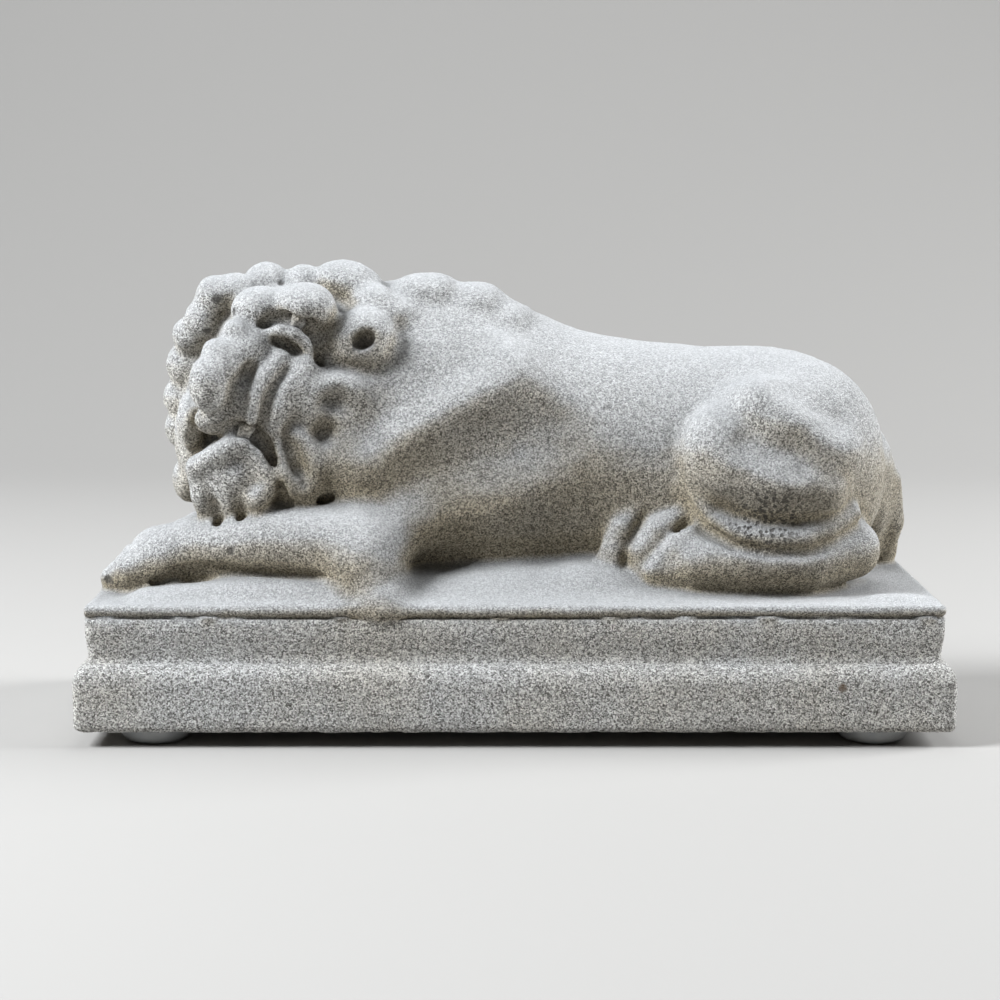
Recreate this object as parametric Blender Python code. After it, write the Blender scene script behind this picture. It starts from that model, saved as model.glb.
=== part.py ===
import math

import bmesh
import bpy
import numpy as np
from mathutils import Matrix, Vector

# Driving dimensions in metres. The base is the plinth's widest part.
base_length = 0.2500
base_depth = 0.0980
base_band_height = 0.0138
base_edge_radius = 0.0020
slope_height = 0.0056
waist_inset = 0.0042
waist_height = 0.0083
band_inset = 0.0033
band_height = 0.0041
groove_width = 0.0009
groove_depth = 0.0011
slab_thickness = 0.0033
slab_edge_radius = 0.0012
corner_radius = 0.0025
plinth_height = (
    base_band_height + slope_height + waist_height + band_height + groove_width + slab_thickness
)

# The round rubber feet under the plinth's corners.
foot_diameter = 0.0210
foot_height = 0.0040
foot_edge_radius = 0.0012
foot_end_distance = 0.0220
foot_side_distance = 0.0135
glue_gap = 0.0003

# The lion, from its toes to its tail. The carving below is laid out in shares of this length.
lion_length = 0.2420
lion_shares = 242.0
sculpt_step = 0.0013
skin_step = 0.0011
lion_faces = 8600


def clear_scene():
    for thing in list(bpy.data.objects):
        bpy.data.objects.remove(thing, do_unlink=True)


def plain_material(name, colour, roughness):
    material = bpy.data.materials.new(name)
    material.use_nodes = True
    shader = material.node_tree.nodes["Principled BSDF"]
    shader.inputs["Base Color"].default_value = (*colour, 1.0)
    shader.inputs["Roughness"].default_value = roughness
    shader.inputs["Metallic"].default_value = 0.0
    return material


def finish_object(name, mesh, material):
    mesh.materials.clear()
    mesh.materials.append(material)
    thing = bpy.data.objects.new(name, mesh)
    bpy.context.scene.collection.objects.link(thing)
    return thing


def evaluated_mesh(thing):
    graph = bpy.context.evaluated_depsgraph_get()
    return bpy.data.meshes.new_from_object(thing.evaluated_get(graph))


# The plinth: one rounded rectangle for each height of its profile, bridged into a closed block.
def plinth_profile():
    slope_top = base_band_height + slope_height
    band_top = slope_top + waist_height + band_height
    slab_bottom = band_top + groove_width
    middle_inset = (waist_inset + band_inset) / 2
    profile = []
    for step in range(4):
        angle = math.radians(30 * step)
        profile.append((base_edge_radius * (1 - math.sin(angle)), base_edge_radius * (1 - math.cos(angle))))
    profile.append((0.0, base_band_height))
    for step in range(1, 5):
        angle = math.radians(22.5 * step)
        profile.append((
            waist_inset * (1 - math.cos(angle)),
            base_band_height + slope_height * math.sin(angle),
        ))
    profile.append((waist_inset, slope_top + waist_height * 0.27))
    profile.append((middle_inset, slope_top + waist_height * 0.66))
    profile.append((band_inset, slope_top + waist_height))
    profile.append((band_inset, band_top))
    profile.append((band_inset + groove_depth, band_top + groove_width * 0.25))
    profile.append((band_inset + groove_depth, slab_bottom - groove_width * 0.25))
    profile.append((band_inset, slab_bottom))
    for step in range(4):
        angle = math.radians(30 * step)
        profile.append((
            band_inset + slab_edge_radius * (1 - math.cos(angle)),
            plinth_height - slab_edge_radius * (1 - math.sin(angle)),
        ))
    return profile


def rounded_rectangle(half_x, half_y, radius, height):
    points = []
    for corner, (side_x, side_y) in enumerate(((1, 1), (-1, 1), (-1, -1), (1, -1))):
        for step in range(4):
            angle = math.radians(90 * corner + 30 * step)
            points.append((
                side_x * (half_x - radius) + radius * math.cos(angle),
                side_y * (half_y - radius) + radius * math.sin(angle),
                height,
            ))
    return points


def make_plinth(underside):
    mesh = bpy.data.meshes.new("plinth")
    build = bmesh.new()
    rings = []
    for inset, height in plinth_profile():
        half_x, half_y = base_length / 2 - inset, base_depth / 2 - inset
        outline = rounded_rectangle(half_x, half_y, corner_radius, underside + height)
        verts = [build.verts.new(point) for point in outline]
        rings.append([build.edges.new((verts[i - 1], verts[i])) for i in range(len(verts))])
    for lower, upper in zip(rings, rings[1:]):
        bmesh.ops.bridge_loops(build, edges=lower + upper)
    bmesh.ops.contextual_create(build, geom=rings[0])
    bmesh.ops.contextual_create(build, geom=rings[-1])
    bmesh.ops.recalc_face_normals(build, faces=build.faces)
    build.to_mesh(mesh)
    build.free()
    return mesh


# The lion is modelled as clay is: lumps and rolls are pressed together, then hollows are cut.
# Each form gives its distance from any point, and blend says how softly it joins the rest.
class Ball:
    def __init__(self, x, y, z, rx, ry, rz, blend, tilt=0, cut=False):
        self.middle = np.array((x, y, z), dtype=float)
        self.radii = np.array((rx, ry, rz), dtype=float)
        self.blend = blend
        self.cut = cut
        self.turn = Matrix.Rotation(math.radians(tilt), 3, "Y")
        self.axes = np.array(self.turn)
        self.reach = max(rx, ry, rz)

    def distance(self, points):
        local = (points - self.middle) @ self.axes
        scaled = np.linalg.norm(local / self.radii, axis=1)
        slope = np.linalg.norm(local / self.radii ** 2, axis=1)
        return scaled * (scaled - 1) / np.maximum(slope, 1e-9)

    def places(self):
        turned = Matrix.Translation(Vector(self.middle)) @ self.turn.to_4x4()
        return [turned @ Matrix.Diagonal((*self.radii, 1))]


class Roll:
    def __init__(self, points, radii, blend, cut=False):
        self.points = np.array(points, dtype=float)
        self.radii = radii
        self.blend = blend
        self.cut = cut
        self.middle = (self.points.min(axis=0) + self.points.max(axis=0)) / 2
        self.reach = np.linalg.norm(self.points - self.middle, axis=1).max() + max(radii)

    def distance(self, points):
        best = np.full(len(points), 1e3)
        for start, end, first, last in zip(self.points, self.points[1:], self.radii, self.radii[1:]):
            along = end - start
            share = np.clip((points - start) @ along / (along @ along), 0, 1)
            gap = np.linalg.norm(points - start - share[:, None] * along, axis=1)
            best = np.minimum(best, gap - first - (last - first) * share)
        return best

    def places(self):
        balls = []
        for start, end, first, last in zip(self.points, self.points[1:], self.radii, self.radii[1:]):
            steps = max(2, math.ceil(np.linalg.norm(end - start) / (0.5 * min(first, last))))
            for step in range(steps + 1):
                share = step / steps
                middle = Vector(start + (end - start) * share)
                balls.append(Matrix.Translation(middle) @ Matrix.Scale(first + (last - first) * share, 4))
        return balls


def stamped_balls(places):
    unit = bmesh.new()
    bmesh.ops.create_icosphere(unit, subdivisions=3, radius=1.0)
    ball = bpy.data.meshes.new("ball")
    unit.to_mesh(ball)
    unit.free()
    build = bmesh.new()
    for place in places:
        stamp = ball.copy()
        stamp.transform(place)
        build.from_mesh(stamp)
        bpy.data.meshes.remove(stamp)
    mesh = bpy.data.meshes.new("lion")
    build.to_mesh(mesh)
    build.free()
    return mesh


def body_forms():
    return [
        # Ribs, withers, loin and rump
        Ball(-8, 3, 34, 49, 31, 37, 1),
        Ball(10, 3, 50, 31, 25, 24, 14),
        Ball(42, 4, 33.5, 50, 29, 37.5, 12),
        Ball(76, 4, 32.5, 35, 32, 37, 10),
        # Neck under the mane, the skull and the throat
        Ball(-28, 2, 55, 46, 26, 35, 12),
        Ball(-64, 2, 54, 33, 27, 35, 10),
        Ball(-60, -13, 38, 17, 17, 20, 8),
        # Near shoulder blade and upper arm
        Ball(-14, -17, 45, 26, 10.5, 22, 12, tilt=25),
        Roll([(-19, -17, 36), (-34, -25, 20), (-42, -31, 11)], [9, 8.5, 10], 13),
        # Ridge from the neck across the shoulder
        Roll([(-42, -24.5, 41), (-24, -25, 52), (-4, -21, 63)], [4.6, 5, 4.5], 14),
        # Far shoulder, upper arm and elbow
        Ball(-14, 18, 44, 26, 14, 24, 10, tilt=25),
        Roll([(-16, 20, 38), (-36, 26, 22), (-46, 27, 12)], [12, 10, 9], 12),
    ]


def ground_forms():
    return [
        # The low bank under the lion, higher beside the forearm and along the belly
        Ball(-2, 0, -10, 116, 43, 19, 8),
        Roll([(-104, -31, -5), (-76, -33.5, -3), (-50, -34.8, -2.2)], [8, 9, 9], 4),
        Roll([(-30, -30, -6), (0, -26, -3.5), (28, -24, -3)], [8, 9, 9], 8),
        Ball(22, -24, 2, 10, 8, 5.5, 6),
        Ball(109, -37, -1, 9, 5, 2.6, 4),
    ]


def elbow_forms():
    return [
        # Elbow that runs over the plinth's front edge and across its groove
        Roll([(-43, -33.5, 9), (-38.5, -38.3, 1), (-38, -39.6, -2)], [9, 6.8, 5.4], 7),
    ]


def foreleg_forms():
    return [
        # Near forearm, wrist and paw
        Roll([(-46, -30, 14), (-68, -27, 16), (-89, -21, 13.5), (-104, -18, 10.5)], [12, 10.5, 9, 8.3], 5),
        Roll([(-102, -21, 9.5), (-111, -21.5, 6.5), (-117, -20, 3.8)], [8, 6, 3.8], 3),
        Roll([(-102, -13, 10), (-111, -11, 7), (-116.5, -10, 4)], [8, 6, 4], 3),
        # Far forearm and paw behind it
        Roll([(-46, 27, 12), (-72, 19, 13), (-94, 8, 11), (-106, 3, 8)], [9, 10, 9, 7], 5),
        Roll([(-104, 1, 8), (-113, -1, 5)], [7, 4.5], 3),
        Roll([(-104, 7, 7), (-112, 6, 4.5)], [6, 4], 3),
        # Stone left between the two under the chin
        Ball(-72, -3, 8, 28, 15, 12, 4),
    ]


def hind_forms():
    return [
        # Near thigh: its egg-shaped mass, the knee, the hip and the ridge above its lower edge
        Ball(86, -10, 42, 20, 18, 23, 8),
        Ball(75, -15.5, 39, 27, 21, 24, 3),
        Ball(59, -24.5, 41, 11.4, 11, 14, 3),
        Roll([(71, -26.5, 56), (81, -27, 50), (91, -25.5, 42)], [6, 6.8, 6.4], 7),
        Roll([(63, -30, 36.5), (75, -31.5, 33), (89, -30, 30)], [5, 6, 5], 7),
        Roll([(50.5, -25, 32), (55.5, -28, 22.8), (62.5, -30, 19), (72, -31.5, 17.3), (82, -31, 17),
              (90, -28.5, 19.5), (97, -23, 23)], [3.4] * 7, 3),
        # Shank and near foot under the thigh
        Roll([(98, -17, 12), (84, -24.5, 10), (66, -26, 10.5), (52, -26.5, 9.5), (43.5, -26.5, 6)],
             [9, 9.5, 10, 8.5, 5.4], 2.5),
        Roll([(66, -25, 16), (56, -25, 18)], [7, 5], 3),
        Roll([(54.5, -26, 20), (46.5, -27.8, 14.5), (40, -28, 7)], [3.4, 3.8, 3.8], 2),
        # Far hind foot, whose toes come out on the near side
        Roll([(49.5, -22, 23.5), (41.5, -24, 18.5), (37, -24.5, 12), (36.5, -24.5, 6)],
             [3.6, 4.6, 4.6, 4], 1.8),
        Roll([(37, -19.5, 27), (31, -22.5, 19), (28, -23.5, 10), (27.5, -23.5, 5)], [3, 4, 4, 3.6], 1.8),
        Roll([(100, -12, 14), (103, -10, 8)], [4, 4], 3),
        # Far haunch
        Ball(78, 22, 30, 30, 17, 25, 10),
        Roll([(98, 28, 7), (70, 32, 8), (52, 30, 6)], [7, 8, 6], 5),
    ]


def tail_forms():
    return [
        # The tail hangs from the rump, turns on the plinth's back corner and ends in a tuft
        Roll([(104, 12, 44), (114, 20, 28), (117, 27, 14), (115.5, 34, 5)], [6, 5, 4.5, 4.4], 4),
        Roll([(115.5, 34, 5), (106, 39, 4), (84, 39.5, 4), (68, 39, 4)], [4.4, 4.2, 4.2, 4.4], 3),
        Roll([(68, 39, 4), (58, 38, 4.5), (46, 39, 3)], [4.4, 6, 2], 2),
        # Stone between the rump and the tail
        Roll([(106, 11, 34), (108, 18, 20), (107, 27, 9)], [8, 7.5, 7.5], 5),
    ]


def head_forms():
    return [
        # Skull, the slope of the forehead and the bridge of the nose
        Ball(-67, -12.5, 66, 20, 15, 22, 6),
        Roll([(-71, -20, 74), (-77, -26, 70.5), (-83, -31.5, 67)], [8, 7.2, 5.6], 3),
        Ball(-79.5, -27.2, 76.2, 3.8, 4.2, 3.6, 2.2),
        Ball(-85, -31.2, 70.6, 3.8, 4.2, 3.6, 2.5),
        # Nose, the lip under it and the two sides of the muzzle
        Ball(-86.5, -35.3, 61.8, 5.6, 5.2, 8, 2.5),
        Ball(-79.5, -27.5, 56, 8, 7.5, 9, 3),
        Ball(-86, -27.5, 52, 6.4, 6, 5.5, 3),
        Ball(-93.3, -21.5, 50, 4.2, 6.5, 8.5, 2),
        # Folds of the near cheek
        Roll([(-66.5, -27.4, 69), (-71.5, -30.6, 63.5), (-74.3, -32.4, 58), (-75, -32.8, 52)],
             [3.4, 3.4, 3.4, 3], 2),
        Roll([(-60.5, -26.5, 66), (-65.3, -29, 60), (-67.8, -30, 54), (-69.3, -30, 49.5)],
             [4.2, 4.2, 4, 3.4], 2.5),
        Ball(-60, -22, 57, 9, 9, 12, 4),
        # Lower jaw with its lip, its corner and the beard
        Ball(-80, -23, 36, 11.4, 10.4, 10.4, 3),
        Ball(-91, -8, 44, 9, 12, 15, 3),
        Roll([(-77.5, -31.8, 46), (-84, -32, 42), (-91, -27.5, 37.5)], [3.2, 3.2, 3.4], 2),
        Roll([(-77, -31, 45), (-72.5, -30.5, 40), (-70, -30.5, 33), (-73.5, -31, 28.5)],
             [3.4, 3.6, 3.6, 3.4], 3),
        Roll([(-91, -25.5, 36), (-90, -25.5, 29), (-88.5, -21, 21)], [3.4, 3.4, 3], 2),
        Roll([(-82, -28, 33), (-81.8, -27, 27), (-81, -23, 21)], [3.2, 3, 3], 2),
        Roll([(-75, -27.5, 30), (-75, -23, 21)], [4.2, 3.6], 2),
        Ball(-82, -17, 25, 9, 9, 8, 3),
        # Upper eyelid
        Roll([(-70, -27.6, 75.8), (-66.3, -29, 77), (-62.8, -29, 76), (-60, -28.2, 73), (-58.3, -27.4, 70)],
             [1.6, 2, 2, 1.8, 1.5], 1.2),
    ]


def mane_forms():
    return [
        # Locks over the brow
        Ball(-59.8, -22.5, 83.2, 8.8, 9.5, 6.8, 2.4, tilt=8),
        Ball(-73.8, -19.5, 82, 7.8, 8.4, 6.8, 3, tilt=-12),
        Ball(-87, -10, 85.6, 6, 7, 6, 2.4),
        Ball(-81, -9, 86.4, 5.8, 7, 6, 2.4),
        Ball(-73, -2, 88.8, 6.8, 8, 6.4, 2.6),
        Ball(-62, -2, 88.6, 6.2, 8, 6, 2.6),
        # Locks along the crest
        Ball(-48.5, -4, 88.4, 10.6, 9.5, 7.2, 2.6, tilt=16),
        Ball(-41, -12, 83.5, 7, 7, 5.5, 3),
        Ball(-28, -4, 85.4, 8, 9, 6.6, 3),
        Ball(-34.5, -13, 80.5, 6, 6, 4.5, 3.5),
        Ball(-22, -4, 85.8, 6, 8, 5.8, 3),
        Ball(-10.5, -3, 82.4, 8.6, 9, 7, 3.2),
        Ball(-1.5, -4, 78, 6, 8, 5, 4),
        # Locks down the far side of the face
        Ball(-90.5, -9, 79, 6, 7, 5.8, 2.6),
        Ball(-95, -4, 74, 5.8, 7, 5.4, 2.6),
        Ball(-97.6, 0, 65, 5.6, 7, 6.6, 2.6),
        Ball(-99.4, 3, 55, 5.4, 7, 5.8, 2.6),
        Ball(-99.4, 5, 45.5, 5.4, 7, 6, 2.6),
        Ball(-96, -3, 31, 5.6, 8, 7, 3),
        # Near ear
        Ball(-44.2, -21.2, 74.2, 9.6, 7.6, 8.2, 4, tilt=-20),
        # Curled lock behind the jaw
        Roll([(-67.8, -27, 50), (-69.5, -28.5, 46.5), (-68.3, -30, 42), (-65.8, -30.5, 36),
              (-63.3, -29.5, 31.5), (-60, -28.5, 30), (-58, -28.5, 33), (-57.3, -28.5, 38),
              (-59, -28.5, 43), (-62.5, -28.5, 47)],
             [3, 3.2, 3.4, 3.6, 3.6, 3.4, 3.4, 3.4, 3.4, 3], 2),
        Ball(-62, -22, 40, 8, 8.5, 12, 3, tilt=15),
        # Second curl under the ear
        Roll([(-58, -26.5, 50), (-59.5, -27, 56), (-56.5, -27, 60), (-51, -26.5, 61.5), (-46, -25.5, 59.5)],
             [3.2, 3.4, 3.4, 3.4, 3.2], 2.5),
        Ball(-48, -20.5, 52, 11, 9, 12, 5),
        # Neck behind the jaw
        Ball(-45, -16, 38, 17, 13, 19, 6),
    ]


def far_mane_forms():
    # Far side of the head, and the plainer locks that hang over it from the crest
    locks = [Ball(-80, 8, 52, 19, 19, 29, 6)]
    for number in range(7):
        x = -92 + 14 * number
        top = 80 - 0.006 * (x + 50) ** 2
        locks.append(Roll(
            [(x + 5, 11, top), (x + 1, 22, top - 14), (x - 4, 27, top - 30), (x + 1, 25, top - 44)],
            [7, 7.5, 6.5, 4], 3,
        ))
    return locks


def hollow_forms():
    return [
        # Crease under the brow, down to the outer corner of the eye
        Roll([(-72.5, -26.5, 77.4), (-69, -27.5, 79.6), (-64, -28, 80.3), (-58.8, -28, 79),
              (-55.8, -27.5, 75.8), (-54.8, -26.5, 71.8), (-56.6, -26, 67.4)],
             [1.4, 2, 2.6, 2.6, 2.3, 2, 2.2], 1, cut=True),
        # Eye
        Roll([(-68, -27.4, 73.8), (-65.2, -27.4, 72.3), (-62.4, -27, 70.6)], [1.6, 2.3, 1.9], 0.8, cut=True),
        # Ear
        Ball(-43, -29, 73.8, 3.6, 7, 2.9, 1.2, tilt=-28, cut=True),
        # Grooves of the cheek, and the hollow beside the nose
        Roll([(-64.5, -31.2, 66), (-69.6, -33.8, 58.5), (-71.6, -34.2, 51)], [0.9, 1.3, 1.5], 1.5, cut=True),
        Roll([(-75.5, -32.5, 66), (-77.6, -35.5, 60.5), (-78.6, -36.2, 53)], [1.8, 2.8, 2.8], 2, cut=True),
        # Mouth, from under the nose to the corner and down the jaw
        Roll([(-93, -27, 45.5), (-87, -33, 47.5), (-80, -33.5, 49.3), (-75, -32.5, 47.8), (-71, -31.5, 43.8),
              (-68.3, -31.5, 38.5), (-66.7, -31.5, 32), (-65.5, -30, 27.5)],
             [1.4, 1.8, 2.2, 2.6, 2.3, 1.7, 1.5, 1.5], 1.2, cut=True),
        Roll([(-90.5, -30, 57), (-91, -28, 50)], [1.2, 1.4], 1.5, cut=True),
        # Beard
        Roll([(-86.3, -29.5, 27), (-85, -26.5, 20)], [1.2, 1.8], 1, cut=True),
        Roll([(-78.5, -30.5, 25.5), (-78, -27, 19)], [1.2, 2], 1, cut=True),
        # Inside the two curls, and under them
        Roll([(-64, -32.5, 43.5), (-61.8, -32, 37.5)], [1.9, 2.1], 2, cut=True),
        Ball(-51.8, -30, 56.5, 3.4, 2.6, 2.6, 3, tilt=-30, cut=True),
        Ball(-54.6, -29.5, 47.6, 2.6, 2.6, 3, 3, cut=True),
        Roll([(-63, -27, 26.8), (-58, -27, 26.2), (-53, -27, 28.5)], [1.6, 2.1, 1.6], 1.2, cut=True),
        # Gap between the face and its far locks
        Roll([(-83.5, -23, 79.5), (-89, -21, 74.5), (-92.5, -20, 67), (-95, -20, 60)],
             [1.6, 1.8, 2, 1.8], 1.5, cut=True),
        # Valley of the neck, and the hollow under the shoulder's ridge
        Roll([(-40, -36, 50), (-26, -37, 60), (-12, -32, 71)], [4.5, 6, 4], 14, cut=True),
        Roll([(-24, -38, 33), (-8, -37, 41), (8, -35, 47)], [6, 7, 5], 16, cut=True),
        # Under the forearm
        Roll([(-108, -25, 2.6), (-98, -27.5, 6), (-88, -29.5, 8), (-74, -32, 7.6), (-58, -37, 7.4),
              (-48, -42, 7.6)], [1, 1.5, 1.6, 1.6, 1.5, 1], 1.5, cut=True),
        # Over the hip, in front of it, and over the thigh's lower edge
        Roll([(78, -31, 64), (93, -32, 53)], [3.5, 4], 7, cut=True),
        Roll([(67, -40, 46), (80, -40.5, 42)], [3.5, 4], 7, cut=True),
        Roll([(57, -37, 26.5), (70, -40, 25), (84, -38.5, 24)], [2.6, 3.4, 3], 4, cut=True),
        # Crease under the thigh, and the groove between the two feet
        Roll([(47, -27.5, 33), (50, -28, 25.5), (54.5, -30, 19.8), (62, -33, 15.6), (72, -35, 13.6),
              (84, -34, 13.4), (93, -31, 16), (101, -25, 20)],
             [1.4, 1.8, 1.8, 1.8, 1.8, 1.8, 1.8, 1.6], 1.5, cut=True),
        Roll([(50.5, -27, 21), (43, -27.5, 14.5), (38.5, -28, 8)], [1.2, 1.3, 1.2], 1, cut=True),
    ]


def distance_to_lion(points, forms):
    near = np.full(len(points), 1e3)
    widest_blend = max(form.blend for form in forms)
    for form in forms:
        gap = np.linalg.norm(points - form.middle, axis=1)
        picked = np.flatnonzero(gap < form.reach + widest_blend)
        if len(picked) == 0:
            continue
        before = near[picked]
        own = form.distance(points[picked]) * (-1 if form.cut else 1)
        touch = np.maximum(form.blend - np.abs(before - own), 0) / form.blend
        join = touch ** 2 * form.blend / 4
        if form.cut:
            near[picked] = np.maximum(before, own) + join
        else:
            near[picked] = np.minimum(before, own) - join
    return near


def neighbour_mean(points, ends):
    count = np.maximum(np.bincount(ends.ravel(), minlength=len(points)), 1)
    mean = np.empty_like(points)
    for axis in range(3):
        total = np.bincount(ends[:, 0], points[ends[:, 1], axis], len(points))
        total += np.bincount(ends[:, 1], points[ends[:, 0], axis], len(points))
        mean[:, axis] = total / count
    return mean


def pull_to_lion(mesh, forms, sinks):
    # The skin first moves in or out along its own normals and is evened a little each time,
    # then it goes straight to the nearest surface
    evening = 0.3
    probe = 0.05
    flattest = 0.2
    points = np.empty(len(mesh.vertices) * 3)
    mesh.vertices.foreach_get("co", points)
    points = points.reshape(-1, 3)
    normals = np.empty(points.size)
    ends = np.empty(len(mesh.edges) * 2, dtype=int)
    mesh.edges.foreach_get("vertices", ends)
    ends = ends.reshape(-1, 2)
    for turn in range(sinks):
        mesh.vertex_normals.foreach_get("vector", normals)
        here = distance_to_lion(points, forms)
        points = points - np.clip(here, -1, 1)[:, None] * normals.reshape(-1, 3)
        points += evening * (neighbour_mean(points, ends) - points)
        mesh.vertices.foreach_set("co", points.ravel())
        mesh.update()
    here = distance_to_lion(points, forms)
    slope = np.empty_like(points)
    for axis in range(3):
        moved = points.copy()
        moved[:, axis] += probe
        slope[:, axis] = (distance_to_lion(moved, forms) - here) / probe
    steep = np.maximum((slope ** 2).sum(axis=1), flattest)
    points = points - np.clip(here / steep, -1, 1)[:, None] * slope
    mesh.vertices.foreach_set("co", points.ravel())
    mesh.update()


def keep_largest(mesh):
    # Loose crumbs that the hollows cut free are dropped
    build = bmesh.new()
    build.from_mesh(mesh)
    build.verts.ensure_lookup_table()
    left = set(range(len(build.verts)))
    groups = []
    while left:
        group = [left.pop()]
        for index in group:
            for edge in build.verts[index].link_edges:
                other = edge.other_vert(build.verts[index]).index
                if other in left:
                    left.remove(other)
                    group.append(other)
        groups.append(group)
    groups.sort(key=len)
    crumbs = [build.verts[index] for group in groups[:-1] for index in group]
    bmesh.ops.delete(build, geom=crumbs, context="VERTS")
    build.to_mesh(mesh)
    build.free()


def skinned(mesh, step):
    # A closed skin of even faces over whatever the mesh holds
    clay = finish_object("lion_clay", mesh, bpy.data.materials["sandy cast stone"])
    skin = clay.modifiers.new("skin", "REMESH")
    skin.mode = "VOXEL"
    skin.voxel_size = step
    mesh = evaluated_mesh(clay)
    bpy.data.objects.remove(clay, do_unlink=True)
    return mesh


def make_lion(plinth_top):
    share = lion_length / lion_shares
    forms = body_forms() + ground_forms() + foreleg_forms() + hind_forms() + tail_forms()
    forms += head_forms() + mane_forms() + far_mane_forms() + hollow_forms() + elbow_forms()
    adding = [form for form in forms if not form.cut]
    mesh = stamped_balls([place for form in adding for place in form.places()])
    for shapes, sinks in ((adding, 3), (forms, 8), (forms, 2)):
        mesh = skinned(mesh, sculpt_step / share)
        keep_largest(mesh)
        pull_to_lion(mesh, shapes, sinks)
    mesh = skinned(mesh, skin_step / share)
    keep_largest(mesh)
    mesh.transform(Matrix.Translation((0, 0, plinth_top)) @ Matrix.Scale(share, 4))
    return mesh


def make_statue(underside, material):
    plinth = finish_object("lion_and_plinth", make_plinth(underside), material)
    lion = finish_object("lion_body", make_lion(underside + plinth_height), material)
    fewer = lion.modifiers.new("fewer faces", "DECIMATE")
    triangles = sum(len(face.vertices) - 2 for face in lion.data.polygons)
    fewer.ratio = lion_faces / triangles
    lion.data = evaluated_mesh(lion)
    lion.modifiers.clear()
    lion.hide_render = True
    lion.display_type = "WIRE"
    cast = plinth.modifiers.new("one casting", "BOOLEAN")
    cast.operation = "UNION"
    cast.solver = "EXACT"
    cast.object = lion
    return plinth


def make_foot(name, x, y, material):
    mesh = bpy.data.meshes.new(name)
    build = bmesh.new()
    place = Matrix.Translation((0, 0, foot_height / 2))
    bmesh.ops.create_cone(
        build, cap_ends=True, segments=40, radius1=foot_diameter / 2, radius2=foot_diameter / 2,
        depth=foot_height, matrix=place,
    )
    lower = [edge for edge in build.edges if max(vert.co.z for vert in edge.verts) < foot_height / 4]
    bmesh.ops.bevel(
        build, geom=lower, offset=foot_edge_radius, offset_type="OFFSET", segments=3, profile=0.5,
        affect="EDGES", material=-1,
    )
    bmesh.ops.recalc_face_normals(build, faces=build.faces)
    build.to_mesh(mesh)
    build.free()
    mesh.shade_smooth()
    mesh.set_sharp_from_angle(angle=math.radians(50))
    foot = finish_object(name, mesh, material)
    foot.location = (x, y, 0)
    return foot


def make_feet(material):
    foot_x = base_length / 2 - foot_end_distance
    foot_y = base_depth / 2 - foot_side_distance
    for end, side_x in (("left", -1), ("right", 1)):
        for place, side_y in (("front", -1), ("back", 1)):
            make_foot(f"{place}_{end}_foot", side_x * foot_x, side_y * foot_y, material)


def main():
    clear_scene()
    stone = plain_material("sandy cast stone", (0.52, 0.50, 0.47), 0.95)
    rubber = plain_material("grey rubber", (0.40, 0.41, 0.41), 0.55)
    make_statue(foot_height + glue_gap, stone)
    make_feet(rubber)


main()
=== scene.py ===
import math

import bmesh
import bpy
import numpy as np
from mathutils import Matrix, Vector, noise


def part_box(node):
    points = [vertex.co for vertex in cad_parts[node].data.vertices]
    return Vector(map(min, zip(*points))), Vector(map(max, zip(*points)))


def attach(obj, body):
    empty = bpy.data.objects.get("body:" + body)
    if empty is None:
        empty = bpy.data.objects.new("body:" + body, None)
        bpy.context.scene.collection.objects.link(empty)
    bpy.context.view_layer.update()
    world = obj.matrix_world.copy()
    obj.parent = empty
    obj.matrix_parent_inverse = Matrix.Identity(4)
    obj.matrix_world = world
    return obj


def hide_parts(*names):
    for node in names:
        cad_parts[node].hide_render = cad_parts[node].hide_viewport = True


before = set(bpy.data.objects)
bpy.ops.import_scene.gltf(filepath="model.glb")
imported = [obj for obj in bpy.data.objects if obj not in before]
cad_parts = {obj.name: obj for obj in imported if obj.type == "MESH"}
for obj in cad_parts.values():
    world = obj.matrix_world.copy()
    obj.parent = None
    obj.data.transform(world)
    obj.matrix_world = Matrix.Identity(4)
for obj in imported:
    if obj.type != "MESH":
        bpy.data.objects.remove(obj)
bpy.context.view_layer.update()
castLow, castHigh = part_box("lion_and_plinth")
print("frame loaded")


# Shader nodes
class Wire:
    # One output of a shader node, with arithmetic that adds Math nodes
    def __init__(self, tree, socket):
        self.tree = tree
        self.socket = socket

    def math(self, operation, *values):
        node = self.tree.nodes.new("ShaderNodeMath")
        node.operation = operation
        for socket, value in zip(node.inputs, values):
            plug(self.tree, socket, value)
        return Wire(self.tree, node.outputs[0])

    def __add__(self, other):
        return self.math("ADD", self, other)

    def __radd__(self, other):
        return self.math("ADD", other, self)

    def __sub__(self, other):
        return self.math("SUBTRACT", self, other)

    def __rsub__(self, other):
        return self.math("SUBTRACT", other, self)

    def __mul__(self, other):
        return self.math("MULTIPLY", self, other)

    def __rmul__(self, other):
        return self.math("MULTIPLY", other, self)

    def __truediv__(self, other):
        return self.math("DIVIDE", self, other)

    def __rtruediv__(self, other):
        return self.math("DIVIDE", other, self)

    def above(self, edge, width):
        # Rises from 0 at the edge to 1 a width past it
        share = (self - edge) / width
        return share.math("MINIMUM", share.math("MAXIMUM", share, 0.0), 1.0)


def plug(tree, socket, value):
    if isinstance(value, Wire):
        tree.links.new(value.socket, socket)
    else:
        socket.default_value = value


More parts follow.
